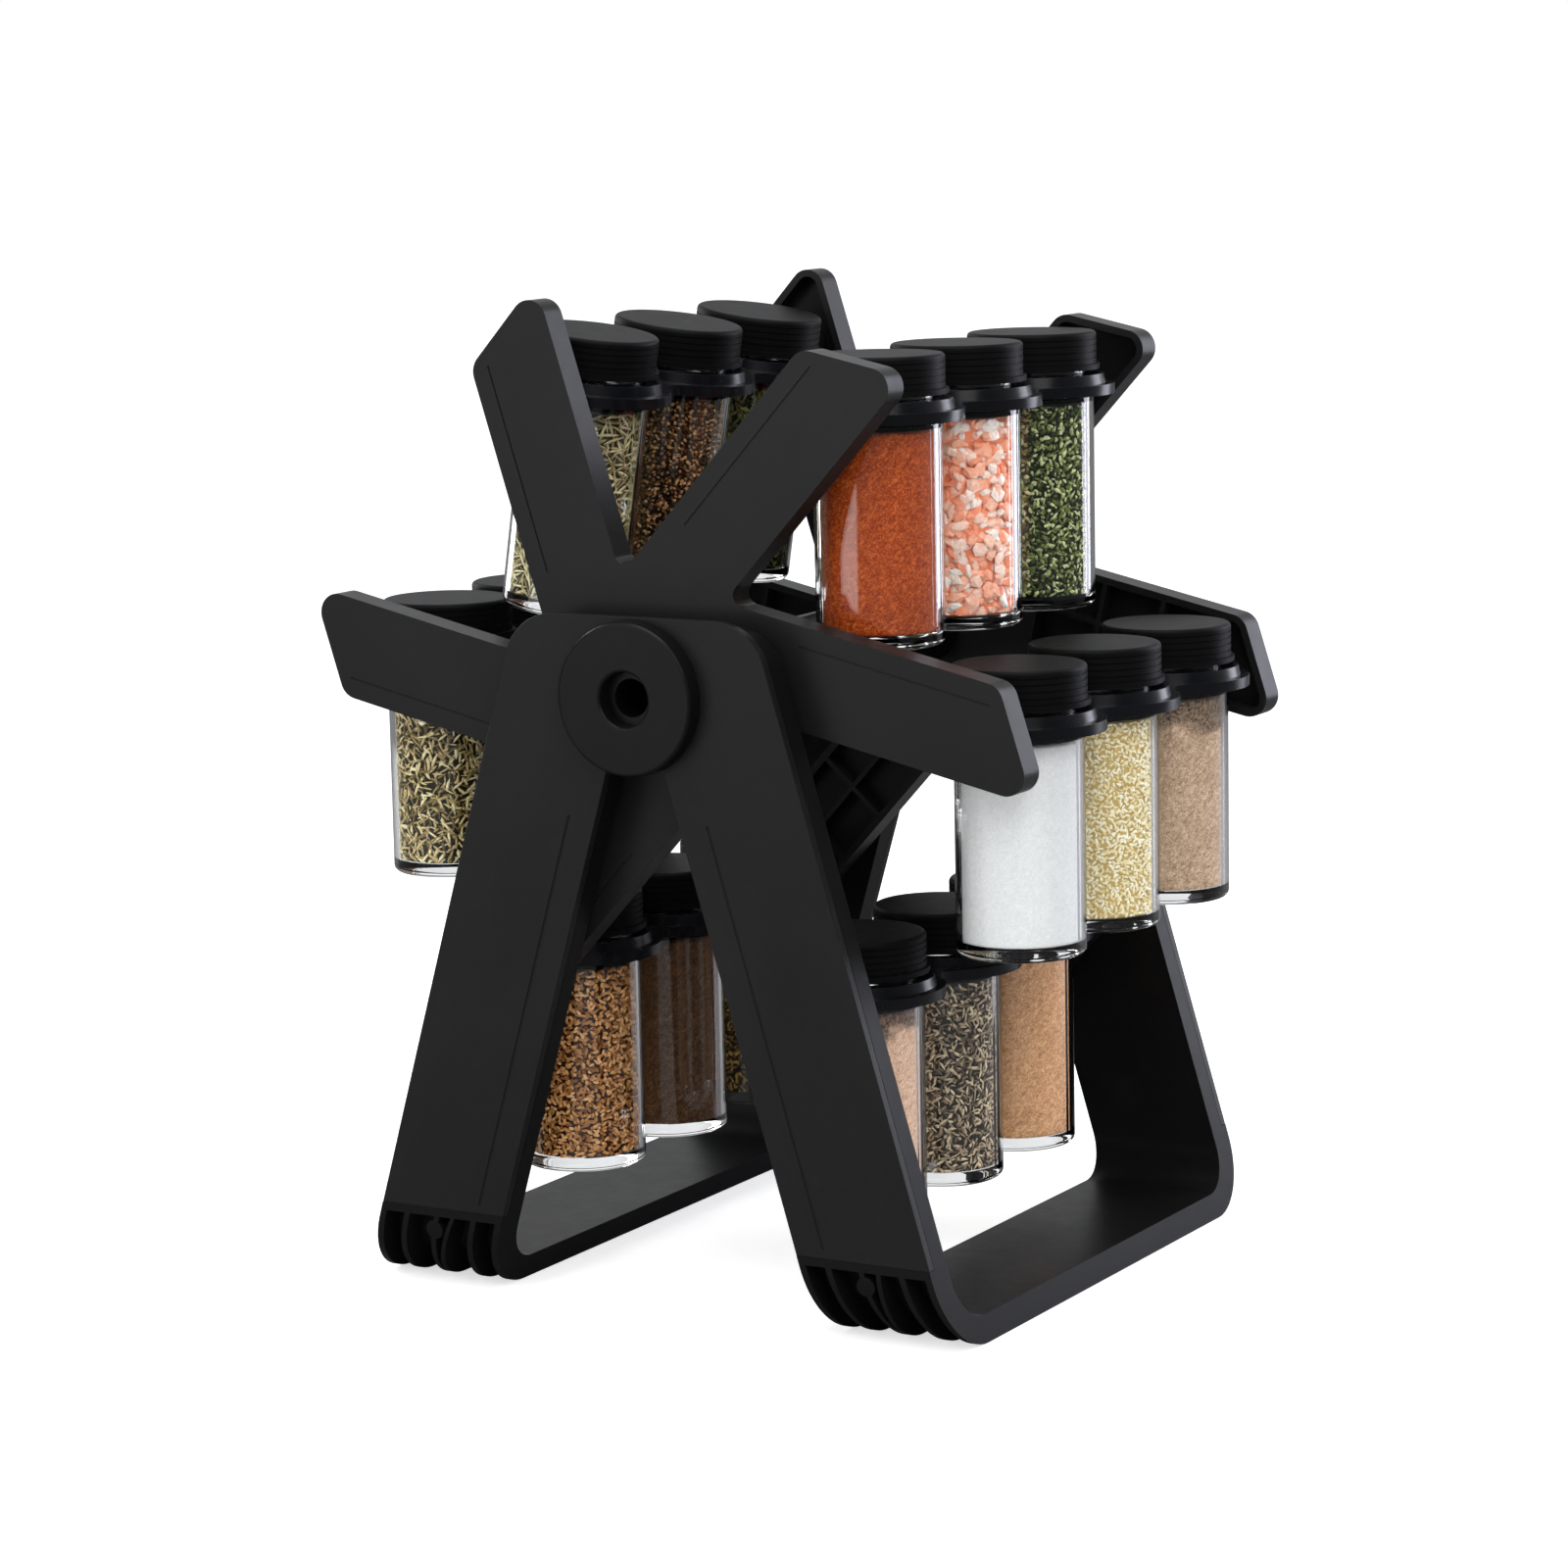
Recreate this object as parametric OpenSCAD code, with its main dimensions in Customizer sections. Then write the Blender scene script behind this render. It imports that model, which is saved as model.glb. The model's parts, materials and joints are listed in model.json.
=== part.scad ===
// Rotating spice carousel: a six-spoke wheel turns on a horizontal axle between two A-shaped
// legs and carries six level trays of three glass jars with screw lids.
// Frame: millimetres, origin on the floor under the axle at mid depth.
// +X runs to the right along the front, -Y is the front, +Z is up.

/* [Stand] */
// Height of the axle above the floor
axle_height = 214.6; // [200:0.1:230]
// Half of the distance between the outer faces of the two covers
cover_face_y = 116.4; // [114:0.1:122]
// Thickness of a leg cover
cover_thickness = 3.5; // [2.5:0.1:4.5]
// Distance of a leg's outer edge from the middle plane, at the floor
foot_reach = 118.1; // [112:0.1:124]
// Width of a leg and of a crossbar
leg_width = 50.7; // [46:0.1:54]
// Lean of each leg from upright, in degrees
leg_lean = 16.5; // [15:0.1:17.5]
// Height of the covers' top edge above the axle
cover_rise = 27; // [24:0.5:32]
// Height of the seam between a cover and the ribbed foot
seam_height = 29; // [27:0.5:34]
// Height of a crossbar above the floor
bar_height = 8.7; // [7:0.1:10]
// Distance of a leg's inner face from mid depth
leg_inner_y = 104.5; // [104:0.1:107]
// Radius under the ribbed foot
foot_outer_r = 25; // [18:0.5:26]
// Radius inside the bend of a leg band
foot_inner_r = 15; // [8:0.5:17]

/* [Hub] */
// Radius of the round hub boss
boss_r = 26; // [22:0.5:30]
// Height of the hub boss above the cover
boss_proud = 6.6; // [4:0.1:9]
// Radius of the hole in the hub boss
boss_hole_r = 9.35; // [9.32:0.01:9.45]
// Outer radius of the axle tube
axle_r = 9.3; // [9:0.05:9.3]
// Inner radius of the axle tube
axle_hollow_r = 6.6; // [5:0.1:7.5]
// Depth of the axle tube's end below the boss face
axle_recess = 5.5; // [3:0.1:6]

/* [Wheel] */
// Turn of the wheel at rest, in degrees clockwise from the front
wheel_turn = -17.4; // [-20:0.1:-12]
// Distance of a star's outer face from mid depth
star_face_y = 100.5; // [99:0.1:100.5]
// Thickness of a star
star_thickness = 10.6; // [9:0.1:11]
// Width of a spoke
spoke_width = 34.8; // [32:0.1:36]
// Offset of a spoke's straight edge from the hub's centre
spoke_offset = 1.7; // [0.5:0.1:3]
// Reach of a spoke's long corner from the hub
spoke_long = 145; // [142:0.5:147]
// Reach of a spoke's short corner from the hub
spoke_short = 124.7; // [122:0.1:128]
// Radius of a spoke's two tip corners
tip_r = 7; // [4:0.5:9]
// Distance of a tray pivot from the hub, along the spoke
pivot_reach = 113; // [111:0.5:115]

/* [Trays] */
// Distance between neighbouring jars
jar_pitch = 57.1; // [56:0.1:57.1]
// Radius of a holder lobe
lobe_r = 29.5; // [28:0.1:30]
// Radius of the waist between two lobes
waist_r = 8; // [6:0.5:10]
// Tilt at which the upper left tray has come to rest, in degrees
resting_tilt = 9; // [0:0.5:9]

/* [Jars] */
// Diameter of a jar's glass body
jar_d = 44; // [42:0.1:44]
// Depth of a jar's bottom below its tray's pivot
jar_drop = 82.2; // [78:0.1:82.5]
// Thickness of the glass wall
glass_wall = 2; // [1.6:0.1:2.4]
// Diameter of a lid
lid_d = 46; // [45:0.1:46]
// Height of a lid's top above its tray's pivot
lid_top = 16; // [15:0.1:16.5]

/* [Hidden] */
$fn = 64;

STAR_SPOKES = 6;
JARS_PER_TRAY = 3;
TRAYS = ["upper_left", "upper_right", "right", "lower_right", "lower_left", "left"];
PLACES = ["front", "middle", "rear"];
TILTED_TRAY = 0;

arc_bite = 0.01;

// Stand
lean_slope = tan(leg_lean);
cover_top_z = axle_height + cover_rise;
cover_inner_y = cover_face_y - cover_thickness;
cover_corner_r = 20;
apex_r = 12;
band_outer_y = cover_inner_y - 0.1;
band_top_z = cover_top_z - 3;
band_corner_r = 17;
band_skin = 2.2;
split_gap = 0.2;
window_top_z = seam_height - 3;
channel_foot_z = seam_height + 0.6;
channel_top_z = axle_height - 32;
foot_window_y = 78;
screw_boss_r = 3.4;
screw_boss_z = 21;
groove_width = 0.7;
groove_depth = 0.4;
leg_groove_offset = 11;

// Hub
sleeve_r = 13;
sleeve_fit = 0.05;
washer_r = 17;
washer_play = 0.3;
tube_r = 14;
tube_play = 0.06;

// Wheel
spoke_step = 360 / STAR_SPOKES;
notch_r = 4;
notch_reach = (cos(spoke_step) * (spoke_offset + spoke_width) - spoke_offset) / sin(spoke_step);
pivot_side = spoke_offset + spoke_width / 2;
pivot_radius = norm([pivot_reach, pivot_side]);
pivot_lead = atan2(pivot_side, pivot_reach);
star_skin = 3.2;
star_wall = 2.6;
star_inner_y = star_face_y - star_thickness;
pocket_start = 44;
rib_width = 1.8;
spoke_ribs = [68, 92];
spoke_groove_offset = 7.3;
end_slope = (spoke_long - spoke_short) / spoke_width;

// Trays
pin_r = 4;
pin_play = 0.06;
pin_boss_r = 8;
pin_end_gap = 0.8;
pin_end_y = star_face_y - star_skin - pin_end_gap;
ear_width = 16;
ear_inner_y = jar_pitch + 26.7;
ear_outer_y = star_inner_y - 2.3;
plate_top = -2.5;
plate_bottom = -6.2;
collar_top = 1;
collar_r = 25.6;
collar_flare = 1.6;

// Jars and lids
jar_r = jar_d / 2;
lid_r = lid_d / 2;
neck_r = 19.5;
neck_wall = 2.2;
neck_top = lid_top - 1.75;
neck_play = 0.4;
shoulder_z = plate_bottom - 0.1;
shoulder_round = 1;
shoulder_drop = 2.6;
throat_drop = 0.6;
heel_r = 2.4;
glass_floor = 5;
thread_r = 20;
thread_rings = [5, 8.6];
thread_height = 1.2;
lid_skin = 1.6;
lid_inner_r = 20.4;
lid_lip_r = lid_r + 1.2;
lid_lip_bottom = 2.6;
lid_lip_top = 4.4;
lid_round = 1.5;
lid_grooves = [6.4, 8.7, 11, 13.1];
lid_groove_height = 0.5;
lid_groove_depth = 0.35;
fill_top = -9;
fill_play = 0.15;

// Direction from a to b, of length one
function toward(a, b) = (b - a) / norm(b - a);
// Half of the angle at corner b
function half_angle(a, b, c) = acos(toward(b, a) * toward(b, c)) / 2;
// Above zero where the outline turns left at b
function turn_at(a, b, c) = (b.x - a.x) * (c.y - b.y) - (b.y - a.y) * (c.x - b.x);
// Centre of the arc of radius r that rounds corner b, set a hair into the corner so that
// the arc crosses the straight sides instead of only touching them
function arc_centre(a, b, c, r) =
    b + toward([0, 0], toward(b, a) + toward(b, c)) * (r / sin(half_angle(a, b, c)) - arc_bite);
// The two points where that arc meets the straight sides
function arc_ends(a, b, c, r) =
    let (reach = r / tan(half_angle(a, b, c)))
    [b + toward(b, a) * reach, b + toward(b, c) * reach];

// Anticlockwise outline whose corner i is rounded to radius radii[i]
module rounded_outline(points, radii) {
    n = len(points);
    function before(i) = points[(i + n - 1) % n];
    function after(i) = points[(i + 1) % n];
    difference() {
        union() {
            polygon([for (i = [0 : n - 1])
                each radii[i] > 0 ? arc_ends(before(i), points[i], after(i), radii[i]) : [points[i]]]);
            for (i = [0 : n - 1])
                if (radii[i] > 0 && turn_at(before(i), points[i], after(i)) > 0)
                    translate(arc_centre(before(i), points[i], after(i), radii[i])) circle(radii[i]);
        }
        for (i = [0 : n - 1])
            if (radii[i] > 0 && turn_at(before(i), points[i], after(i)) < 0)
                translate(arc_centre(before(i), points[i], after(i), radii[i])) circle(radii[i]);
    }
}

// Front-view outline (x, z) given depth from y0 to y1
module prism_y(y0, y1) {
    translate([0, y1, 0]) rotate([90, 0, 0]) linear_extrude(y1 - y0) children();
}

// Side-view outline (y, z) given width from x0 to x1
module prism_x(x0, x1) {
    translate([x0, 0, 0]) rotate([90, 0, 90]) linear_extrude(x1 - x0) children();
}

// Ring or rod about a line along Y at the hub, from y0 to y1
module hub_rod(r, y0, y1) {
    translate([0, y1, axle_height]) rotate([90, 0, 0]) cylinder(h = y1 - y0, r = r);
}

// X of a line on a leg, offset to the right of the leg's left edge, at height z
function leg_x(side, offset, z) =
    side > 0 ? foot_reach - leg_width - lean_slope * z + offset : lean_slope * z - foot_reach + offset;

// Slanted strip of a leg between two offsets and two heights
module leg_strip(side, from, to, z0, z1) {
    polygon([[leg_x(side, from, z0), z0], [leg_x(side, to, z0), z0],
             [leg_x(side, to, z1), z1], [leg_x(side, from, z1), z1]]);
}

// ---- Stand ----

// Upright box with rounded bottom corners, seen from the side
module u_profile(half, bottom, r) {
    rounded_outline([[-half, bottom], [half, bottom], [half, cover_top_z + 1], [-half, cover_top_z + 1]],
                    [r, r, 0, 0]);
}

// U shape of a leg band seen from the side: leg, crossbar, leg, with room for the covers
module band_side_outline() {
    difference() {
        u_profile(cover_face_y, 0, foot_outer_r);
        u_profile(leg_inner_y, bar_height, foot_inner_r);
        for (side = [0, 1]) mirror([side, 0])
            translate([band_outer_y, seam_height]) square([cover_face_y, cover_top_z]);
    }
}

// Space inside the band's thin inner skin, with the skin itself
module band_core() {
    prism_x(-foot_reach - 1, foot_reach + 1)
        u_profile(leg_inner_y + band_skin, bar_height - band_skin, foot_inner_r + band_skin);
}

// Right leg of a band seen from the front, cut off beside the middle plane
module band_front_outline() {
    inner_foot = foot_reach - leg_width;
    rounded_outline(
        [[inner_foot, 0], [foot_reach, 0], [foot_reach - lean_slope * band_top_z, band_top_z],
         [split_gap, band_top_z], [split_gap, (inner_foot - split_gap) / lean_slope]],
        [0, 0, band_corner_r, 0, 0]);
}

// Open pockets between the ribs of a leg, as fractions of the leg's width
function pocket_edges() = [[0.05, 0.2], [0.245, 0.45], [0.49, 0.75], [0.795, 0.95]];

module band_pockets(side) {
    boss_offset = leg_width * 0.47;
    rib_offset = leg_width * 0.62;
    difference() {
        for (edges = pocket_edges() * leg_width) {
            leg_strip(side, edges[0], edges[1], -1, window_top_z);
            leg_strip(side, edges[0], edges[1], channel_foot_z, channel_top_z);
        }
        translate([leg_x(side, boss_offset, screw_boss_z), screw_boss_z]) circle(screw_boss_r);
        polygon([[leg_x(side, boss_offset, -2), -2], [leg_x(side, boss_offset + rib_width, -2), -2],
                 [leg_x(side, rib_offset, window_top_z + 1), window_top_z + 1],
                 [leg_x(side, rib_offset - rib_width, window_top_z + 1), window_top_z + 1]]);
    }
}

module leg_band(side) {
    deep = cover_face_y + 1;
    color("#232323") difference() {
        intersection() {
            prism_x(-foot_reach - 1, foot_reach + 1) band_side_outline();
            prism_y(-deep, deep) if (side > 0) band_front_outline(); else mirror([1, 0]) band_front_outline();
        }
        difference() {
            prism_y(-deep, deep) band_pockets(side);
            band_core();
            translate([-foot_reach - 2, -foot_window_y, -2])
                cube([2 * foot_reach + 4, 2 * foot_window_y, bar_height]);
        }
        hub_rod(sleeve_r + sleeve_fit, -deep, deep);
    }
}

// A-shaped outline of a leg cover
module cover_outline() {
    inner_foot = foot_reach - leg_width;
    outer_x = foot_reach - lean_slope * seam_height;
    inner_x = inner_foot - lean_slope * seam_height;
    top_x = foot_reach - lean_slope * cover_top_z;
    rounded_outline(
        [[-outer_x, seam_height], [-inner_x, seam_height], [0, inner_foot / lean_slope],
         [inner_x, seam_height], [outer_x, seam_height], [top_x, cover_top_z], [-top_x, cover_top_z]],
        [0, 0, apex_r, 0, 0, cover_corner_r, cover_corner_r]);
}

module cover_groove(side) {
    offset_in = side > 0 ? leg_groove_offset : leg_width - leg_groove_offset;
    prism_y(-cover_face_y - 1, groove_depth - cover_face_y)
        leg_strip(side, offset_in, offset_in + groove_width, seam_height + 3, axle_height - 42);
}

module front_cover() {
    color("#2a2a2a") difference() {
        prism_y(-cover_face_y, -cover_inner_y) cover_outline();
        hub_rod(sleeve_r + sleeve_fit, -cover_face_y - 1, -cover_inner_y + 1);
        cover_groove(1);
        cover_groove(-1);
    }
}

// Round boss with a sleeve that reaches back through the cover and the leg bands
module front_hub_boss() {
    color("#262626") difference() {
        union() {
            translate([0, -cover_face_y, axle_height]) rotate([90, 0, 0])
                cylinder(h = boss_proud, r1 = boss_r + 0.5, r2 = boss_r, $fn = 96);
            hub_rod(sleeve_r, -cover_face_y - 0.5, -leg_inner_y - 0.1);
        }
        hub_rod(boss_hole_r, -cover_face_y - boss_proud - 1, -leg_inner_y + 1);
    }
}

module axle() {
    half = cover_face_y + boss_proud - axle_recess;
    color("#1c1c1c") difference() {
        hub_rod(axle_r, -half, half);
        hub_rod(axle_hollow_r, -half - 1, half + 1);
    }
}

module thrust_washers() {
    color("#c9c9c4") for (side = [0, 1]) mirror([0, side, 0]) difference() {
        hub_rod(washer_r, washer_play / 2 - leg_inner_y, -star_face_y - washer_play);
        hub_rod(boss_hole_r, -leg_inner_y - 1, 1 - star_face_y);
    }
}

// ---- Wheel ----

// Point u along spoke k and v to its anticlockwise side, seen from the front
function spoke_point(k, u, v) =
    let (a = wheel_turn + spoke_step * k) [u * sin(a) - v * cos(a), u * cos(a) + v * sin(a)];

// Reach of a spoke's end edge at side offset v, set in by a margin
function spoke_end(v, margin) =
    spoke_long - end_slope * (v - spoke_offset) - margin * sqrt(1 + pow(end_slope, 2));

module star_outline() {
    far_side = spoke_offset + spoke_width;
    rounded_outline(
        [for (k = [0 : -1 : 1 - STAR_SPOKES]) each
            [spoke_point(k, spoke_long, spoke_offset), spoke_point(k, spoke_short, far_side),
             spoke_point(k, notch_reach, far_side)]],
        [for (k = [1 : STAR_SPOKES]) each [tip_r, tip_r, notch_r]]);
}

// Quadrilateral on spoke k between two reaches and two side offsets
module spoke_bar(k, u0, u1, v0, v1) {
    polygon([spoke_point(k, u0, v0), spoke_point(k, u1, v0), spoke_point(k, u1, v1), spoke_point(k, u0, v1)]);
}

// Hollow of a spoke behind its skin, leaving the walls, ribs and pin boss
module spoke_pocket(k) {
    near = spoke_offset + star_wall;
    far = spoke_offset + spoke_width - star_wall;
    difference() {
        rounded_outline(
            [spoke_point(k, pocket_start, near), spoke_point(k, spoke_end(near, star_wall), near),
             spoke_point(k, spoke_end(far, star_wall), far), spoke_point(k, pocket_start, far)],
            [3, 4.4, 4.4, 3]);
        spoke_bar(k, pocket_start - 1, pivot_reach, pivot_side - rib_width / 2, pivot_side + rib_width / 2);
        for (u = spoke_ribs) spoke_bar(k, u, u + rib_width, near - 1, far + 1);
        translate(spoke_point(k, pivot_reach, pivot_side)) circle(pin_boss_r);
    }
}

module front_star() {
    groove_v = spoke_offset + spoke_width - spoke_groove_offset;
    color("#2a2a2a") difference() {
        translate([0, 0, axle_height]) prism_y(-star_face_y, -star_inner_y) star_outline();
        for (k = [0 : STAR_SPOKES - 1]) translate([0, 0, axle_height]) {
            prism_y(star_skin - star_face_y, 1 - star_inner_y) spoke_pocket(k);
            prism_y(star_skin - star_face_y, 1 - star_inner_y)
                translate(spoke_point(k, pivot_reach, pivot_side)) circle(pin_r + pin_play);
            prism_y(-star_face_y - 1, groove_depth - star_face_y)
                spoke_bar(k, pocket_start + 6, spoke_end(groove_v, 5), groove_v, groove_v + groove_width);
        }
        hub_rod(tube_r, -star_face_y - 1, 1 - star_inner_y);
    }
}

module hub_tube() {
    color("#202020") difference() {
        hub_rod(tube_r, -star_face_y, star_face_y);
        hub_rod(axle_r + tube_play, -star_face_y - 1, star_face_y + 1);
    }
}

// ---- Trays ----

// Puts a tray, built about its own pivot, at spoke k
module at_tray(k) {
    a = wheel_turn + spoke_step * k - pivot_lead;
    translate([pivot_radius * sin(a), 0, axle_height + pivot_radius * cos(a)])
        rotate([0, k == TILTED_TRAY ? resting_tilt : 0, 0]) children();
}

function jar_y(i) = (i - (JARS_PER_TRAY - 1) / 2) * jar_pitch;

module at_jar(i) {
    translate([0, jar_y(i), 0]) children();
}

// Wavy plan of a holder: a round lobe for each jar and a waist between two lobes
module holder_outline() {
    centre_x = sqrt(pow(lobe_r + waist_r, 2) - pow(jar_pitch / 2, 2));
    touch_x = centre_x * lobe_r / (lobe_r + waist_r);
    difference() {
        union() {
            for (i = [0 : JARS_PER_TRAY - 1]) translate([0, jar_y(i)]) circle(lobe_r);
            translate([-touch_x, jar_y(0)]) square([2 * touch_x, jar_pitch * (JARS_PER_TRAY - 1)]);
        }
        for (i = [0 : JARS_PER_TRAY - 2], x = [-centre_x, centre_x])
            translate([x, jar_y(i) + jar_pitch / 2]) circle(waist_r);
    }
}

module holder_ear() {
    translate([-ear_width / 2, ear_inner_y, plate_bottom])
        cube([ear_width, ear_outer_y - ear_inner_y, -plate_bottom]);
    translate([0, ear_outer_y, 0]) rotate([90, 0, 0])
        cylinder(h = ear_outer_y - ear_inner_y, r = ear_width / 2);
    translate([0, pin_end_y, 0]) rotate([90, 0, 0]) cylinder(h = pin_end_y - ear_inner_y, r = pin_r);
}

module tray_holder() {
    color("#24252a") difference() {
        union() {
            translate([0, 0, plate_bottom]) linear_extrude(plate_top - plate_bottom) holder_outline();
            for (i = [0 : JARS_PER_TRAY - 1]) at_jar(i) translate([0, 0, plate_bottom])
                cylinder(h = collar_top - plate_bottom, r1 = collar_r + collar_flare, r2 = collar_r);
            for (side = [0, 1]) mirror([0, side, 0]) holder_ear();
        }
        for (i = [0 : JARS_PER_TRAY - 1]) at_jar(i)
            translate([0, 0, plate_bottom - 1])
                cylinder(h = collar_top - plate_bottom + 2, r = neck_r + neck_play);
    }
}

// Half section of a jar, (r, z) about its axis
module jar_section() {
    inside_r = jar_r - glass_wall;
    throat_r = neck_r - neck_wall;
    floor_z = glass_floor - jar_drop;
    difference() {
        union() {
            polygon([[0, -jar_drop], [jar_r - heel_r, -jar_drop], [jar_r, heel_r - jar_drop],
                     [jar_r, shoulder_z - shoulder_round], [jar_r - shoulder_round, shoulder_z],
                     [neck_r, shoulder_z], [neck_r, neck_top], [0, neck_top]]);
            translate([jar_r - heel_r, heel_r - jar_drop]) circle(heel_r);
            translate([jar_r - shoulder_round, shoulder_z - shoulder_round]) circle(shoulder_round);
            for (z = thread_rings) translate([0, z]) square([thread_r, thread_height]);
        }
        polygon([[-1, floor_z], [inside_r, floor_z], [inside_r, shoulder_z - shoulder_drop],
                 [throat_r, shoulder_z - throat_drop], [throat_r, neck_top + 1], [-1, neck_top + 1]]);
    }
}

module glass_jars() {
    color([0.8, 0.88, 0.86, 0.4]) for (i = [0 : JARS_PER_TRAY - 1]) at_jar(i) rotate_extrude() jar_section();
}

module jar_fill() {
    bottom = glass_floor - jar_drop + fill_play;
    color("#9a6a3c") translate([0, 0, bottom])
        cylinder(h = fill_top - bottom, r = jar_r - glass_wall - fill_play);
}

// Half section of a screw lid
module lid_section() {
    inside_height = lid_top - lid_skin - lid_lip_bottom;
    difference() {
        union() {
            polygon([[0, lid_lip_bottom], [lid_lip_r, lid_lip_bottom], [lid_lip_r, lid_lip_top],
                     [lid_r, lid_lip_top], [lid_r, lid_top - lid_round],
                     [lid_r - lid_round, lid_top], [0, lid_top]]);
            translate([lid_r - lid_round, lid_top - lid_round]) circle(lid_round);
        }
        translate([-1, lid_lip_bottom - 1]) square([lid_inner_r + 1, inside_height + 1]);
        for (z = lid_grooves) translate([lid_r - lid_groove_depth, z]) square([1, lid_groove_height]);
    }
}

module screw_lid() {
    color("#2e2e2f") rotate_extrude() lid_section();
}

leg_band(-1);  // left_leg_band
leg_band(1);  // right_leg_band
front_cover();
mirror([0, 1, 0]) front_cover();  // rear_cover
front_hub_boss();
mirror([0, 1, 0]) front_hub_boss();  // rear_hub_boss
axle();
thrust_washers();
front_star();
mirror([0, 1, 0]) front_star();  // rear_star
hub_tube();
for (k = [0 : STAR_SPOKES - 1]) {
    at_tray(k) tray_holder();
    at_tray(k) glass_jars();
    for (i = [0 : JARS_PER_TRAY - 1]) {
        at_tray(k) at_jar(i) jar_fill();
        at_tray(k) at_jar(i) screw_lid();
    }
}
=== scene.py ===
"""Looks of a turning spice rack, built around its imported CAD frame.

Black moulded plastic, clear glass jars and loose dry spices. Metres, +Z up, front is -Y.
"""

import json
import math
from collections import namedtuple

import bpy
import numpy as np
from mathutils import Matrix, Vector


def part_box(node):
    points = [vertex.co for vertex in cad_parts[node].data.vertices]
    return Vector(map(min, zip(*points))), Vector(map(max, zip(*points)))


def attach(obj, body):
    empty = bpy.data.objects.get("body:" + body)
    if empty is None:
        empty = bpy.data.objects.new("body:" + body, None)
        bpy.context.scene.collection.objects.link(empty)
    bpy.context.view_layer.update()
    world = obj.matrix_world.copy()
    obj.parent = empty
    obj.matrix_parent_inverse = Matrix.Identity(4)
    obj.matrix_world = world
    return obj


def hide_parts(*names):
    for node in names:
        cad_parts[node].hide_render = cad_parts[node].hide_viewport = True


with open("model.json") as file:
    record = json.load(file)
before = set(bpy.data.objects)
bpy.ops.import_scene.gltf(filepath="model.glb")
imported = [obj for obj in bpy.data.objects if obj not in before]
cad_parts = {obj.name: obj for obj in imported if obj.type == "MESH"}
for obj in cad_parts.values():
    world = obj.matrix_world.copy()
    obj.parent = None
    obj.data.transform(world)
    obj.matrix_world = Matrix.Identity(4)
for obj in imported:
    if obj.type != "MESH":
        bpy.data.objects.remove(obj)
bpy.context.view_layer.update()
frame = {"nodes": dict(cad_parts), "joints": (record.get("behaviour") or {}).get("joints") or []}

MM = 0.001
TRAYS = ("upper_left", "upper_right", "right", "lower_right", "lower_left", "left")
PLACES = ("front", "middle", "rear")
WHITE = (1.0, 1.0, 1.0)


# ---- Node helpers ----


class Nodes:
    """The node tree of a material or a world, with short calls for the nodes used here.

    A value is a socket to link, a colour as three numbers, or a number.
    """

    def __init__(self, owner, output, coords):
        owner.use_nodes = True
        self.owner, self.tree = owner, owner.node_tree
        self.tree.nodes.clear()
        self.output = self.add(output)
        self.coords = self.add("ShaderNodeTexCoord").outputs[coords]

    def add(self, kind, **values):
        node = self.tree.nodes.new(kind)
        for key, value in values.items():
            setattr(node, key, value)
        return node

    def put(self, value, socket):
        if isinstance(value, bpy.types.NodeSocket):
            self.tree.links.new(value, socket)
        elif isinstance(value, tuple):
            socket.default_value = (*value, 1.0)
        else:
            socket.default_value = value

    def fill(self, node, **inputs):
        """Sets a node's inputs; a keyword is an input's name with _ for a space."""
        for key, value in inputs.items():
            self.put(value, node.inputs[key.replace("_", " ")])
        return node

    def noise(self, scale, detail=3.0, roughness=0.5, distortion=0.0):
        node = self.fill(
            self.add("ShaderNodeTexNoise"),
            Vector=self.coords,
            Scale=scale,
            Detail=detail,
            Roughness=roughness,
            Distortion=distortion,
        )
        return node.outputs["Fac"]

    def attribute(self, name):
        return self.add("ShaderNodeAttribute", attribute_name=name).outputs["Fac"]

    def ramp(self, source, stops):
        """Colour ramp through (position, colour) stops."""
        node = self.add("ShaderNodeValToRGB")
        points = node.color_ramp.elements
        while len(points) < len(stops):
            points.new(0.5)
        for point, (position, colour) in zip(points, stops):
            point.position = position
            point.color = (*colour, 1.0)
        self.put(source, node.inputs["Fac"])
        return node.outputs["Color"]

    def span(self, source, low, high, source_low=0.0, source_high=1.0):
        """source mapped from one range of numbers to another, and held inside it."""
        node = self.fill(
            self.add("ShaderNodeMapRange"),
            Value=source,
            From_Min=source_low,
            From_Max=source_high,
            To_Min=low,
            To_Max=high,
        )
        return node.outputs["Result"]

    def math(self, operation, a, b, clamp=False):
        node = self.add("ShaderNodeMath", operation=operation, use_clamp=clamp)
        self.put(a, node.inputs[0])
        self.put(b, node.inputs[1])
        return node.outputs[0]

    def mix(self, factor, a, b):
        node = self.add("ShaderNodeMix", data_type="RGBA")
        factor_socket, a_socket, b_socket = (node.inputs[i] for i in (0, 6, 7))
        self.put(factor, factor_socket)
        self.put(a, a_socket)
        self.put(b, b_socket)
        return node.outputs[2]

    def mix_shaders(self, factor, a, b):
        node = self.add("ShaderNodeMixShader")
        self.put(factor, node.inputs[0])
        self.put(a.outputs[0], node.inputs[1])
        self.put(b.outputs[0], node.inputs[2])
        return node

    def bump(self, height, strength, depth, normal=None):
        node = self.fill(self.add("ShaderNodeBump"), Height=height, Strength=strength, Distance=depth)
        if normal is not None:
            self.put(normal, node.inputs["Normal"])
        return node.outputs["Normal"]

    def principled(self, **inputs):
        return self.fill(self.add("ShaderNodeBsdfPrincipled"), **inputs)

    def done(self, shader):
        self.put(shader.outputs[0], self.output.inputs["Surface"])
        return self.owner


def new_material(name):
    return Nodes(bpy.data.materials.new(name), "ShaderNodeOutputMaterial", "Object")


def scaled(colour, factor):
    return tuple(c * factor for c in colour)


# ---- Materials ----


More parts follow.
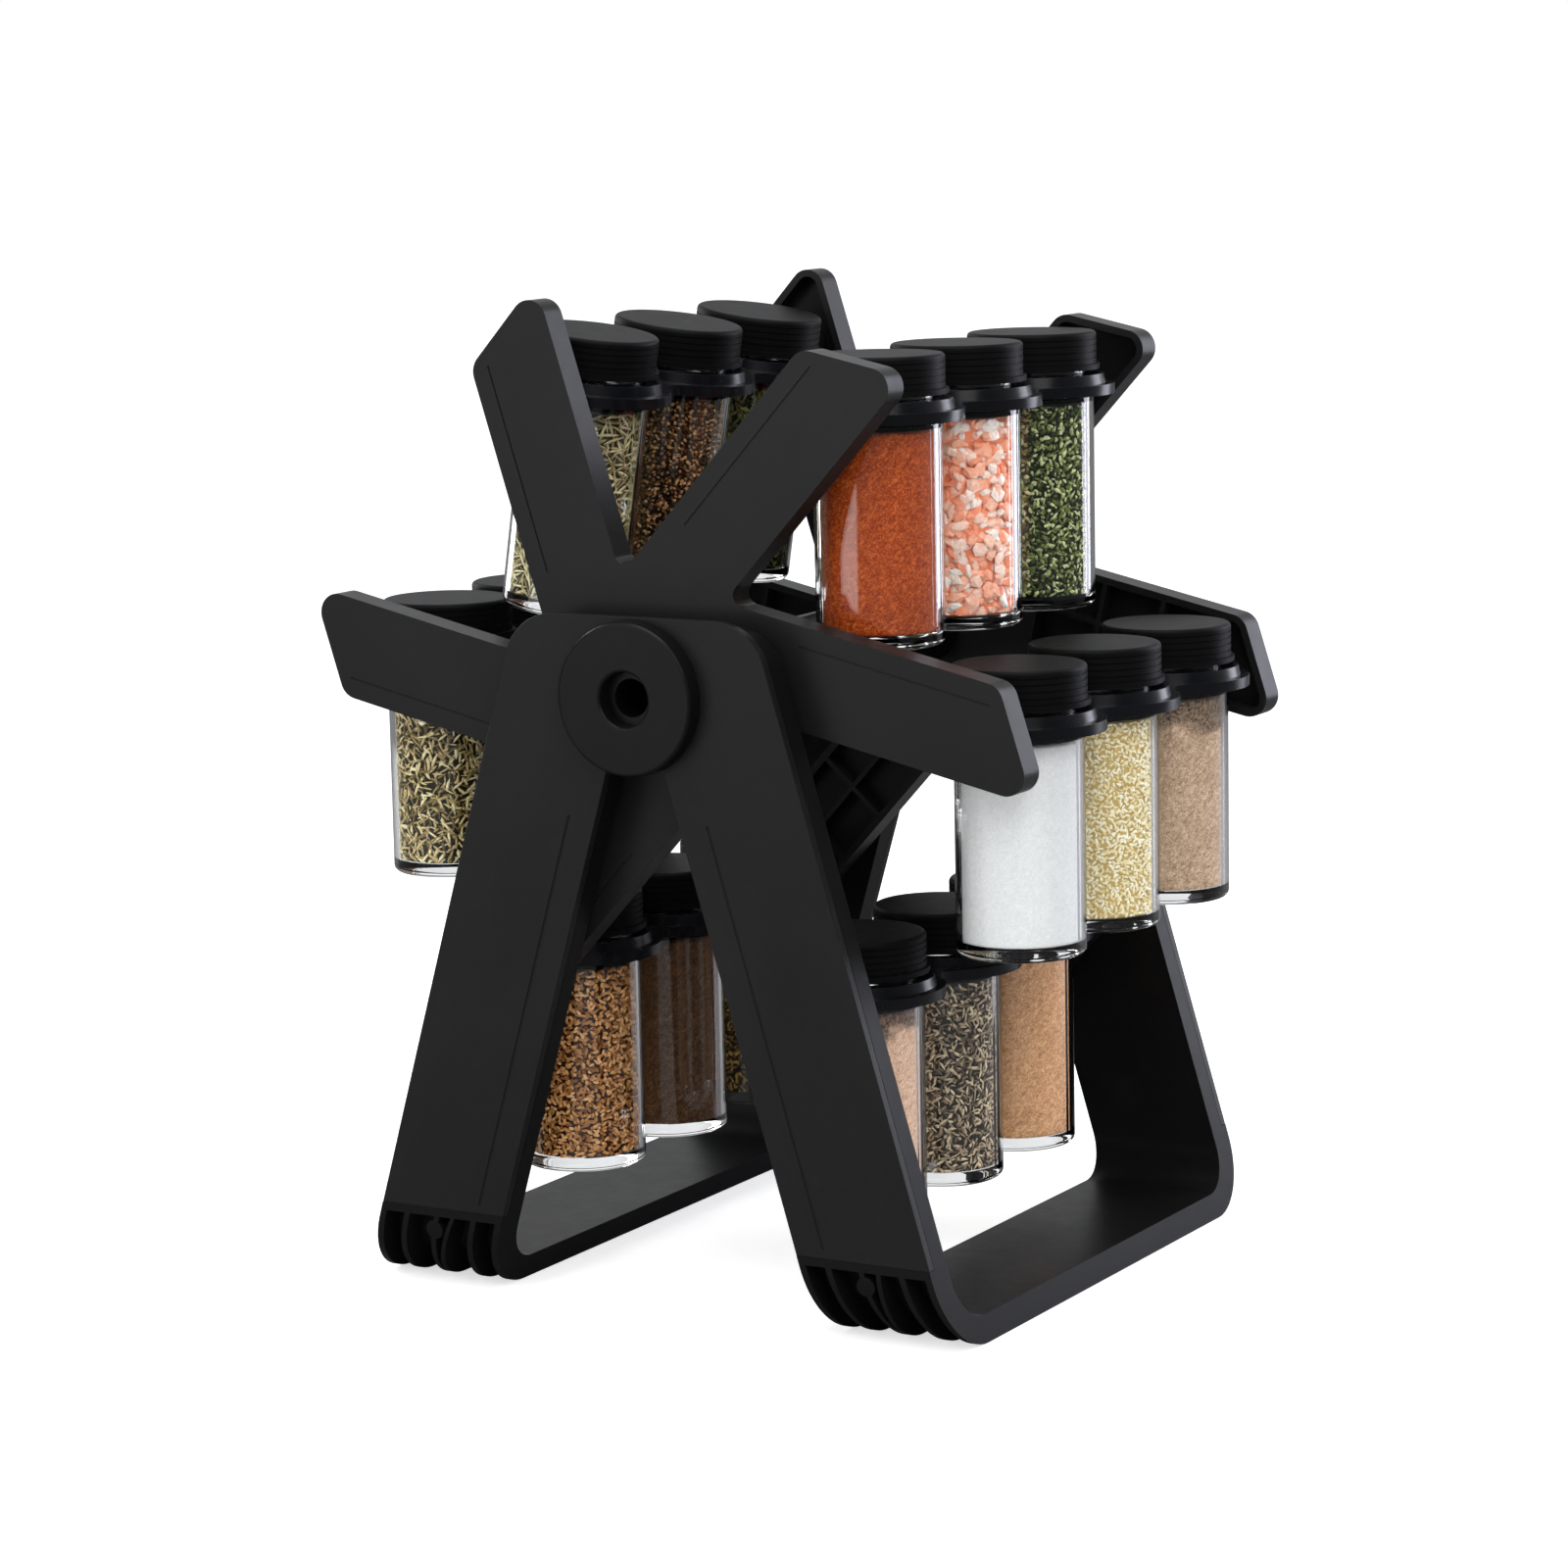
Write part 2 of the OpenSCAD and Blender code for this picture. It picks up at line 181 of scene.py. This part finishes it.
FLOW_SCALE, MARK_SCALE, FINE_SCALE = 14.0, 160.0, 2600.0  # of each noise, in cells per metre
FLOW_SHADES = (0.86, 1.14)
MARK_SHADE, MARK_STRENGTH = 1.6, 0.22
ROUGHNESS_BELOW, ROUGHNESS_ABOVE = 0.05, 0.07
CLEAR_SHADOW = (0.93, 0.96, 0.95)


def moulded_plastic(name, colour, roughness, grain=0.10, gloss=0.2):
    """Black plastic from a fine-textured mould: faint flow marks, handling marks and grain."""
    n = new_material(name)
    flow = n.noise(FLOW_SCALE, 4.0, 0.55, 0.6)
    marks = n.noise(MARK_SCALE, 5.0, 0.7)
    fine = n.noise(FINE_SCALE, 2.0)
    dark, light = (scaled(colour, shade) for shade in FLOW_SHADES)
    base = n.ramp(flow, [(0.25, dark), (0.75, light)])
    base = n.mix(n.span(marks, 0.0, MARK_STRENGTH, 0.55, 0.8), base, scaled(colour, MARK_SHADE))
    normal = n.bump(fine, grain, 0.05 * MM)
    shader = n.principled(
        Base_Color=base,
        Roughness=n.span(marks, roughness - ROUGHNESS_BELOW, roughness + ROUGHNESS_ABOVE),
        Normal=n.bump(marks, 0.02, 0.04 * MM, normal),
        Specular_IOR_Level=gloss,
    )
    return n.done(shader)


def jar_glass():
    """Clear glass, faintly green and faintly rippled; its shadow is thin, so lamps reach the spices."""
    n = new_material("jar_glass")
    glass = n.principled(
        Base_Color=(0.985, 0.992, 0.989),
        Roughness=0.0,
        IOR=1.48,
        Transmission_Weight=1.0,
        Normal=n.bump(n.noise(60.0, 2.0), 0.06, 0.2 * MM),
    )
    clear = n.fill(n.add("ShaderNodeBsdfTransparent"), Color=CLEAR_SHADOW)
    shadow = n.add("ShaderNodeLightPath").outputs["Is Shadow Ray"]
    return n.done(n.mix_shaders(shadow, glass, clear))


COVER = moulded_plastic("cover_plastic", (0.0105, 0.0105, 0.0107), 0.36, gloss=0.10)
FOOT = moulded_plastic("foot_plastic", (0.0060, 0.0060, 0.0062), 0.36, gloss=0.07)
WHEEL = moulded_plastic("wheel_plastic", (0.0095, 0.0095, 0.0098), 0.34, gloss=0.12)
HUB = moulded_plastic("hub_plastic", (0.0046, 0.0046, 0.0048), 0.34, gloss=0.12)
HOLDER = moulded_plastic("holder_plastic", (0.0036, 0.0039, 0.0056), 0.25, grain=0.03, gloss=0.22)
LID = moulded_plastic("lid_plastic", (0.0044, 0.0044, 0.0047), 0.46, grain=0.12, gloss=0.05)
WASHER = moulded_plastic("washer_plastic", (0.45, 0.45, 0.43), 0.40, gloss=0.5)
GLASS = jar_glass()

HOLDERS = [tray + "_holder" for tray in TRAYS]
JARS = [tray + "_jars" for tray in TRAYS]
LIDS = [f"{tray}_{place}_lid" for tray in TRAYS for place in PLACES]
# Nodes, their material, the radius of their moulded edges in mm and the steps around an edge
PAINT = (
    (["front_cover", "rear_cover"], COVER, 0.7, 3),
    (["left_leg_band", "right_leg_band"], FOOT, 0.5, 2),
    (["front_star", "rear_star"], WHEEL, 0.8, 3),
    (["front_hub_boss", "rear_hub_boss"], HUB, 1.0, 3),
    (HOLDERS, HOLDER, 0.6, 3),
    (["axle", "hub_tube"], HUB, None, None),
    (["thrust_washers"], WASHER, None, None),
    (JARS, GLASS, None, None),
    (LIDS, LID, None, None),
)
SHARP = math.radians(35.0)  # an edge that turns more than this is rounded
WELD = 0.002 * MM
FLAT_FIRST = 80  # how much more a wide face counts than a narrow one where their shading meets


def soften(o, width, segments):
    """Rounds the sharp edges of a CAD node as a mould does, and keeps its flat faces flat."""
    weld = o.modifiers.new("weld", "WELD")
    weld.merge_threshold = WELD
    bevel = o.modifiers.new("bevel", "BEVEL")
    bevel.width = width
    bevel.segments = segments
    bevel.limit_method = "ANGLE"
    bevel.angle_limit = SHARP
    evener = o.modifiers.new("evener", "WEIGHTED_NORMAL")
    evener.weight = FLAT_FIRST
    evener.keep_sharp = True


for nodes, material, edge, steps in PAINT:
    for node in nodes:
        o = frame["nodes"][node]
        o.data.materials.clear()
        o.data.materials.append(material)
        if edge:
            soften(o, edge * MM, steps)


# ---- Shapes of grains ----


def seed_template():
    """Plump seed, one unit long on each half axis, long axis X, as triangles."""
    around, rings = 6, (-0.6, 0.05, 0.65)
    points = [(-1.0, 0.0, 0.0)]
    for x in rings:
        r = math.sqrt(1 - x * x)
        for i in range(around):
            a = 2 * math.pi * i / around
            points.append((x, r * math.cos(a), r * math.sin(a)))
    points.append((1.0, 0.0, 0.0))
    faces = []
    for i in range(around):
        j = (i + 1) % around
        faces.append((0, 1 + j, 1 + i))
        for k in range(len(rings) - 1):
            a, b = 1 + k * around, 1 + (k + 1) * around
            faces += [(a + i, a + j, b + j), (a + i, b + j, b + i)]
        last = 1 + (len(rings) - 1) * around
        faces.append((last + i, last + j, len(points) - 1))
    return np.array(points), np.array(faces)


def leaf_template():
    """Narrow dried leaf or stalk, bent along its length and pointed at both ends."""
    stations = ((-1.0, 0.15), (-0.35, 1.0), (0.35, 0.9), (1.0, 0.12))
    points, faces = [], []
    for x, w in stations:
        bend = 0.35 * (1 - x * x)
        points += [(x, -w + bend, 0.0), (x, bend, w), (x, w + bend, 0.0), (x, bend, -w)]
    for k in range(len(stations) - 1):
        a, b = 4 * k, 4 * (k + 1)
        for i in range(4):
            j = (i + 1) % 4
            faces += [(a + i, b + j, a + j), (a + i, b + i, b + j)]
    end = 4 * (len(stations) - 1)
    faces += [(0, 1, 2), (0, 2, 3), (end, end + 2, end + 1), (end, end + 3, end + 2)]
    return np.array(points), np.array(faces)


def crystal_template():
    """Twenty-faced lump that each crystal then distorts in its own way."""
    g = (1 + math.sqrt(5)) / 2
    signs = [(s, t) for s in (-1, 1) for t in (-1, 1)]
    points = [(s, t * g, 0) for s, t in signs]
    points += [(0, s, t * g) for s, t in signs]
    points += [(s * g, 0, t) for s, t in signs]
    points = np.array(points) / math.hypot(1, g)
    longest_edge = 1.2
    n = len(points)
    near = [[np.linalg.norm(p - q) < longest_edge for q in points] for p in points]
    faces = []
    for i in range(n):
        for j in range(i + 1, n):
            for k in range(j + 1, n):
                if near[i][j] and near[j][k] and near[i][k]:
                    out = np.dot(np.cross(points[j] - points[i], points[k] - points[i]), points[i])
                    faces.append((i, j, k) if out > 0 else (i, k, j))
    return points, np.array(faces)


TEMPLATES = {"seed": seed_template(), "leaf": leaf_template(), "crystal": crystal_template()}
WAVES = ((3, 130), (7, 260), (12, 520), (19, 900))  # around the core, and per metre up it
CRYSTAL_JITTER = 0.3
TIP = 0.22  # how far a grain's end leans into the jar
DEPTHS = (0.5, 2.4)  # of a grain's half thickness, from the glass
HEAP = 0.4 * MM


def core(rng, radius, bottom, top, rough, around, up):
    """Closed cylinder with an uneven wall and a heaped top: the bulk of a filling."""
    angle = np.linspace(0, 2 * np.pi, around, endpoint=False)
    height = np.linspace(bottom, top, up)
    a, h = np.meshgrid(angle, height)
    wobble = sum(
        np.sin(a * k + rng.uniform(0, 6.3)) * np.sin(h * w + rng.uniform(0, 6.3)) for k, w in WAVES
    ) / len(WAVES)
    r = radius - rough * (0.5 + 0.5 * wobble) - rough * 0.35 * rng.random(a.shape)
    wall = np.stack([r * np.cos(a), r * np.sin(a), h], axis=-1).reshape(-1, 3)
    ends = np.array([[0, 0, bottom], [0, 0, top + HEAP]])
    faces = []
    for k in range(up - 1):
        for i in range(around):
            j = (i + 1) % around
            p, q = k * around, (k + 1) * around
            faces += [(p + i, p + j, q + j), (p + i, q + j, q + i)]
    low, high, last = len(wall), len(wall) + 1, (up - 1) * around
    for i in range(around):
        j = (i + 1) % around
        faces += [(low, j, i), (high, last + i, last + j)]
    return np.vstack([wall, ends]), np.array(faces)


def grains(rng, kind, size, spread, count, radius, bottom, top):
    """Grains laid against the inside of the glass, long side along it at any angle.

    size is (length, width, thickness) in metres of a typical grain; spread is the share it varies by.
    Returns the points, the faces and each point's tone from 0 to 1.
    """
    points, faces = TEMPLATES[kind]
    half = np.array(size) / 2
    columns = max(8, int(math.sqrt(count * 2 * math.pi * radius / (top - bottom))))
    rows = max(4, int(count / columns))
    column, row = np.meshgrid(np.arange(columns), np.arange(rows))
    count = column.size
    angle = (column.ravel() + rng.random(count)) * 2 * np.pi / columns
    height = bottom + (row.ravel() + rng.random(count)) * (top - bottom) / rows
    lay = rng.uniform(0, 2 * np.pi, count)
    tip = rng.normal(0, TIP, count)
    depth = radius - half[2] * rng.uniform(*DEPTHS, count)
    tangent = np.stack([-np.sin(angle), np.cos(angle), np.zeros(count)], axis=1)
    outward = np.stack([np.cos(angle), np.sin(angle), np.zeros(count)], axis=1)
    up = np.array([0.0, 0.0, 1.0])
    along = np.cos(lay)[:, None] * tangent + np.sin(lay)[:, None] * up
    along = along + tip[:, None] * outward
    along /= np.linalg.norm(along, axis=1)[:, None]
    across = np.cross(outward, along)
    across /= np.linalg.norm(across, axis=1)[:, None]
    thin = np.cross(along, across)
    scale = half[None, :] * (1 + spread * rng.uniform(-1, 1, (count, 3)))
    local = np.broadcast_to(points, (count, *points.shape)) * scale[:, None, :]
    if kind == "crystal":
        local = local * (1 + rng.uniform(-CRYSTAL_JITTER, CRYSTAL_JITTER, local.shape))
    basis = np.stack([along, across, thin], axis=1)
    world = np.einsum("nki,nij->nkj", local, basis)
    place = outward * depth[:, None] + height[:, None] * up
    world = (world + place[:, None, :]).reshape(-1, 3)
    reach = np.hypot(world[:, 0], world[:, 1])
    world[:, :2] *= np.minimum(1.0, radius / np.maximum(reach, 1e-9))[:, None]
    world[:, 2] = np.clip(world[:, 2], bottom, top)
    tone = np.repeat(rng.random(count), len(points))
    shift = np.arange(count)[:, None, None] * len(points)
    return world, (faces[None] + shift).reshape(-1, 3), tone


# ---- Spices ----


def srgb(code):
    """Linear colour of a six-digit hex code."""
    channels = [int(code[i : i + 2], 16) / 255 for i in (0, 2, 4)]
    return tuple(c / 12.92 if c <= 0.04045 else ((c + 0.055) / 1.055) ** 2.4 for c in channels)


# A texture is (scale of the fine noise, how much it changes the tone, depth of its bumps)
POWDER_TEXTURE = (1800.0, 0.38, 0.10 * MM)
GRAIN_TEXTURE = (900.0, 0.15, 0.10 * MM)
DULL, GLINTING = (0.8, 0.12), (0.22, 0.6)  # roughness and specular level
# Painted shade under the holder: a darker, speckled band over the top of some powders.
SHADE_BAND_BLEND, SHADE_BAND_WAVE = 0.02, 0.06  # of the height, for the band of painted shade at the top
SHADE_BAND_TONES = (0.4, 4.5)


def spice_material(name, shades, texture, top=None, glint=False):
    """Dry spice, from its darkest to its lightest shade by each grain's own tone and by fine noise; a
    loose spice's darkest shade is painted shade in the gaps between grains.

    top is (colour, share of the height) of a darker, speckled band of painted shade under the holder,
    which lies on this spice from there up.
    """
    n = new_material(name)
    scale, contrast, depth = texture
    speck = n.noise(scale, 4.0, 0.7)
    tone = n.math("ADD", n.attribute("tone"), n.span(speck, -contrast, contrast, 0.35, 0.65))
    colour = n.ramp(tone, [(i / (len(shades) - 1), shade) for i, shade in enumerate(shades)])
    # Painted shade under the holder: a darker, speckled band from the top's level up.
    if top:
        shade, level = top
        wave = n.span(n.noise(70.0, 3.0), -SHADE_BAND_WAVE, SHADE_BAND_WAVE, 0.3, 0.7)
        height = n.math("ADD", n.attribute("shade_band"), wave)
        dark, light = (scaled(shade, factor) for factor in SHADE_BAND_TONES)
        shade_band_colour = n.ramp(n.noise(900.0, 3.0, 0.7), [(0.35, dark), (0.62, light)])
        in_shade_band = n.span(height, 0.0, 1.0, level - SHADE_BAND_BLEND, level + SHADE_BAND_BLEND)
        colour = n.mix(in_shade_band, colour, shade_band_colour)
    roughness, gloss = GLINTING if glint else DULL
    shader = n.principled(
        Base_Color=colour,
        Roughness=roughness,
        Normal=n.bump(speck, 0.35, depth),
        Specular_IOR_Level=gloss,
    )
    return n.done(shader)


Filling = namedtuple("Filling", "kind size spread count shades top glint")


def loose(kind, size, spread, count, *codes, glint=False):
    """count grains of a typical size in mm, with shades from the painted shade in the gaps to the
    lightest grain.
    """
    return Filling(kind, [s * MM for s in size], spread, count, [srgb(c) for c in codes], None, glint)


def powder(*codes, top=None):
    """Powder with shades from dark to light, and maybe (colour, level) of a band of painted shade on
    top, under the holder.
    """
    shade_band = (srgb(top[0]), top[1]) if top else None
    return Filling("powder", None, None, None, [srgb(c) for c in codes], shade_band, False)


# In a loose filling the first shade is painted shade in the gaps between the grains.
FILLINGS = {
    ("upper_left", "front"): loose(
        "leaf", (7.0, 0.9, 0.7), 0.35, 1900, "292317", "8d7f53", "cebe8f", "fff6cb"
    ),
    ("upper_left", "middle"): loose(
        "crystal", (1.3, 1.1, 1.0), 0.45, 5200, "0e0a09", "402b14", "7e5532", "dca672"
    ),
    ("upper_left", "rear"): loose(
        "leaf", (3.0, 1.1, 0.4), 0.45, 3000, "0c0e06", "34381c", "565a2c", "7c7d48"
    ),
    ("upper_right", "front"): powder("6a2206", "96390c", "cc6a30"),
    ("upper_right", "middle"): loose(
        "crystal", (5.0, 4.2, 3.2), 0.45, 1250, "f48b61", "ffa27e", "ffc8af", "fffcf6", glint=True
    ),
    ("upper_right", "rear"): loose(
        "leaf", (2.1, 1.1, 0.4), 0.5, 4200, "0f1608", "39481a", "7f8c49", "e1e5ad"
    ),
    ("right", "front"): powder("cbcbcc", "d7d7d8", "e1e1e1"),
    ("right", "middle"): loose(
        "seed", (1.9, 0.95, 0.8), 0.2, 5200, "c4a868", "ead7a2", "f8edc8", "fffcec"
    ),
    # top: a darker, speckled band of painted shade under the holder
    ("right", "rear"): powder("7e6048", "b4957a", "dec6b0", top=("4a3c30", 0.87)),
    ("lower_right", "front"): powder("a27356", "d9b094", "f4dbc7", top=("4a3a30", 0.90)),
    ("lower_right", "middle"): loose(
        "leaf", (2.8, 0.8, 0.5), 0.5, 3800, "271f17", "756553", "bfa688", "ffe9c4"
    ),
    ("lower_right", "rear"): powder("9e6b43", "dba274", "ffd0a2"),
    ("lower_left", "front"): loose(
        "seed", (2.3, 1.15, 1.0), 0.2, 4200, "311a0a", "975f2f", "ce9257", "fbc589"
    ),
    ("lower_left", "middle"): powder("2c1a0e", "543822", "7c5a3e"),
    ("lower_left", "rear"): loose(
        "leaf", (2.2, 1.0, 0.5), 0.4, 3200, "21190c", "6a522a", "92723a", "c0a057"
    ),
    ("left", "front"): loose(
        "leaf", (4.6, 0.9, 0.55), 0.45, 2700, "231c0e", "7f6d41", "cdb47c", "fff3c2"
    ),
    ("left", "middle"): powder("4a2a14", "704624", "8e6238"),
    ("left", "rear"): loose(
        "seed", (4.4, 1.3, 1.1), 0.25, 2200, "262410", "847a42", "ada066", "ccc08c"
    ),
}
# The gap tone gives the core the darkest shade: painted shade between the grains.
GAP_SHADE_TONE, DARKEST_GRAIN = -0.1, 0.22
POWDER_TONE, POWDER_TONE_SPREAD = 0.5, 0.12
POWDER_CORE = (0.05 * MM, 120, 72)  # unevenness of the wall, steps around it and up it
LOOSE_CORE = (0.3 * MM, 64, 40)
SUNK = 0.75  # of a grain's thickness, from the glass to the core
FIRST_SEED = 100
SLACK = 0.6 * MM  # a filling ends this far under the top of its CAD solid


def tray_matrix(tray):
    """Places points about a level tray's pivot where that tray hangs at rest."""
    joints = {j["name"]: j for j in frame["joints"]}
    up = joints[tray + "_front_lid_lift"]["axis"]
    tilt = math.atan2(up[0], up[2])
    return Matrix.Translation(joints[tray + "_tray_swing"]["pos_m"]) @ Matrix.Rotation(tilt, 4, "Y")


def fill_shape(place):
    """(offset along the tray, radius, bottom, top) of a filling, from a level tray's CAD node."""
    low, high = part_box(f"right_{place}_spice")
    pivot = tray_matrix("right").translation
    return (low.y + high.y) / 2, (high.y - low.y) / 2, low.z - pivot.z, high.z - pivot.z


def new_mesh(name, points, faces, values, smooth):
    """Mesh object from arrays: points (n, 3), faces (m, sides) and point values by name."""
    mesh = bpy.data.meshes.new(name)
    mesh.vertices.add(len(points))
    mesh.vertices.foreach_set("co", points.astype(np.float32).ravel())
    mesh.loops.add(faces.size)
    mesh.loops.foreach_set("vertex_index", faces.astype(np.int32).ravel())
    mesh.polygons.add(len(faces))
    mesh.polygons.foreach_set("loop_start", np.arange(0, faces.size, faces.shape[1], dtype=np.int32))
    mesh.polygons.foreach_set("use_smooth", np.full(len(faces), smooth, bool))
    mesh.update(calc_edges=True)
    for key, value in values.items():
        mesh.attributes.new(key, "FLOAT", "POINT").data.foreach_set("value", value.astype(np.float32))
    o = bpy.data.objects.new(name, mesh)
    bpy.context.scene.collection.objects.link(o)
    return o


def powder_shape(rng, radius, bottom, top):
    points, faces = core(rng, radius, bottom, top, *POWDER_CORE)
    return points, faces, POWDER_TONE + POWDER_TONE_SPREAD * rng.standard_normal(len(points))


def loose_shape(rng, filling, radius, bottom, top):
    """A core in the darkest shade, painted shade that shows in the gaps, and the grains around it."""
    kind, size, spread, count = filling[:4]
    points, faces = core(rng, radius - SUNK * size[2], bottom, top, *LOOSE_CORE)
    more, more_faces, tone = grains(rng, kind, size, spread, count, radius, bottom, top)
    gap_shade = np.full(len(points), GAP_SHADE_TONE)
    return (
        np.vstack([points, more]),
        np.vstack([faces, more_faces + len(points)]),
        np.concatenate([gap_shade, DARKEST_GRAIN + (1 - DARKEST_GRAIN) * tone]),
    )


def fill_jar(tray, place, filling, rng):
    offset, radius, bottom, top = fill_shape(place)
    top -= SLACK
    if filling.kind == "powder":
        points, faces, tone = powder_shape(rng, radius, bottom, top)
        texture = POWDER_TEXTURE
    else:
        points, faces, tone = loose_shape(rng, filling, radius, bottom, top)
        texture = GRAIN_TEXTURE
    # Each point's share of the height, which places the band of painted shade at the top.
    shade_band = (points[:, 2] - bottom) / (top - bottom)
    matrix = np.array(tray_matrix(tray))
    points = (points + np.array([0.0, offset, 0.0])) @ matrix[:3, :3].T + matrix[:3, 3]
    values = {"tone": tone, "shade_band": shade_band}
    o = new_mesh(f"{tray}_{place}_grains", points, faces, values, filling.kind != "crystal")
    node = f"{tray}_{place}_spice"
    o.data.materials.append(
        spice_material(node + "_look", filling.shades, texture, filling.top, filling.glint)
    )
    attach(o, tray + "_tray")
    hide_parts(node)


for index, ((tray, place), filling) in enumerate(FILLINGS.items()):
    fill_jar(tray, place, filling, np.random.default_rng(FIRST_SEED + index))


# ---- Camera ----

AZIMUTH, ELEVATION, ROLL = 0.527, 0.161, -0.020  # radians: right of the front, above it, turned
DISTANCE, FOCUS = 1.6689, Vector((-0.010, 0.0, 0.1671))
SENSOR_MM, LENS_MM = 36.0, 106.75


def link_object(name, data):
    o = bpy.data.objects.new(name, data)
    bpy.context.scene.collection.objects.link(o)
    return o


def make_camera():
    look = Vector((
        -math.sin(AZIMUTH) * math.cos(ELEVATION),
        math.cos(AZIMUTH) * math.cos(ELEVATION),
        -math.sin(ELEVATION),
    ))
    data = bpy.data.cameras.new("camera")
    data.sensor_width = SENSOR_MM
    data.lens = LENS_MM
    data.clip_start, data.clip_end = 0.05, 50.0
    camera = link_object("camera", data)
    camera.location = FOCUS - look * DISTANCE
    camera.rotation_mode = "QUATERNION"
    roll = Matrix.Rotation(ROLL, 4, "Z").to_quaternion()
    camera.rotation_quaternion = look.to_track_quat("-Z", "Y") @ roll
    bpy.context.scene.camera = camera


# ---- Studio ----

CENTRE = Vector((0.0, 0.0, 0.18))  # every lamp aims here
# Name, place, (width, height), watts and colour
LAMPS = (
    ("top", (0.1, -0.2, 1.5), (1.0, 1.0), 13.0, WHITE),
    ("softbox", (-0.41, -0.91, 0.46), (0.62, 0.86), 3.4, WHITE),
    ("strip_left", (-1.15, 0.30, 0.50), (0.3, 0.95), 4.0, WHITE),
    ("strip_right", (0.62, 1.05, 0.50), (0.45, 0.95), 8.0, (0.86, 0.87, 1.0)),
    ("front_fill", (1.2, -1.2, 1.3), (0.9, 0.9), 10.0, WHITE),
)
SKY_COLOUR = (0.97, 0.98, 1.0)
SKY_DOWN_UP = (0.45, 1.1)  # strength of the sky straight down and straight up
SKY_LEFT_RIGHT = (1.15, 0.55)
SKY_MIRRORED = 0.22  # of its strength, where the front of the sky shows in a mirror image
FRONT_TO_BACK = (-0.3, 0.6)  # the directions in Y over which that rises to full strength
FLOOR_TONES = (0.70, 0.73)
FLOOR_MIRRORED = (0.16, 0.16, 0.16)
FLOOR_LIFT = 0.62  # light that the floor adds to reach the backdrop's white
FLOOR_HALF = 12.0
FLOOR_DROP = 0.2 * MM


def ray_kinds(n):
    """(seen, mirrored): 1 for a ray from the camera straight or through glass, or in a mirror image."""
    rays = n.add("ShaderNodeLightPath").outputs
    seen = n.math("MAXIMUM", rays["Is Camera Ray"], rays["Is Transmission Ray"])
    seen = n.math("SUBTRACT", seen, rays["Glossy Depth"], clamp=True)
    return seen, n.math("SUBTRACT", rays["Is Glossy Ray"], seen, clamp=True)


def make_world():
    """A plain white backdrop, and a soft sky that is dimmer to the right and, mirrored, in front."""
    world = bpy.data.worlds.new("studio")
    bpy.context.scene.world = world
    n = Nodes(world, "ShaderNodeOutputWorld", "Generated")
    direction = n.add("ShaderNodeSeparateXYZ")
    n.put(n.coords, direction.inputs[0])
    x, y, z = direction.outputs
    seen, mirrored = ray_kinds(n)
    by_height, by_side = n.span(z, *SKY_DOWN_UP, -1.0, 1.0), n.span(x, *SKY_LEFT_RIGHT, -1.0, 1.0)
    dimmed = n.span(mirrored, 1.0, n.span(y, SKY_MIRRORED, 1.0, *FRONT_TO_BACK))
    strength = n.math("MULTIPLY", n.math("MULTIPLY", by_height, by_side), dimmed)
    sky = n.fill(n.add("ShaderNodeBackground"), Color=SKY_COLOUR, Strength=strength)
    white = n.fill(n.add("ShaderNodeBackground"), Color=WHITE)
    n.done(n.mix_shaders(seen, sky, white))


def make_floor():
    """A wide pale floor, lifted to the backdrop's white for the camera and dim in mirror images."""
    n = new_material("floor")
    seen, mirrored = ray_kinds(n)
    low, high = ((tone,) * 3 for tone in FLOOR_TONES)
    tone = n.ramp(n.noise(3.0, 2.0), [(0.3, low), (0.7, high)])
    shader = n.principled(
        Base_Color=n.mix(mirrored, tone, FLOOR_MIRRORED),
        Roughness=0.7,
        Emission_Color=WHITE,
        Emission_Strength=n.span(seen, 0.0, FLOOR_LIFT),
    )
    mesh = bpy.data.meshes.new("floor")
    signs = ((-1, -1), (1, -1), (1, 1), (-1, 1))
    corners = [(s * FLOOR_HALF, t * FLOOR_HALF, -FLOOR_DROP) for s, t in signs]
    mesh.from_pydata(corners, [], [(0, 1, 2, 3)])
    mesh.materials.append(n.done(shader))
    floor = link_object("floor", mesh)


def make_lamp(name, place, size, watts, colour):
    """An area lamp that lights and is mirrored, but isn't seen itself."""
    data = bpy.data.lights.new(name, "AREA")
    data.shape = "RECTANGLE"
    data.size, data.size_y = size
    data.energy = watts
    data.color = colour
    lamp = link_object(name, data)
    lamp.location = place
    lamp.visible_camera = False
    lamp.rotation_mode = "QUATERNION"
    lamp.rotation_quaternion = (CENTRE - lamp.location).to_track_quat("-Z", "Y")


make_camera()
make_world()
make_floor()
for lamp in LAMPS:
    make_lamp(*lamp)
bpy.context.scene.view_settings.view_transform = "Standard"
bpy.context.scene.view_settings.look = "None"
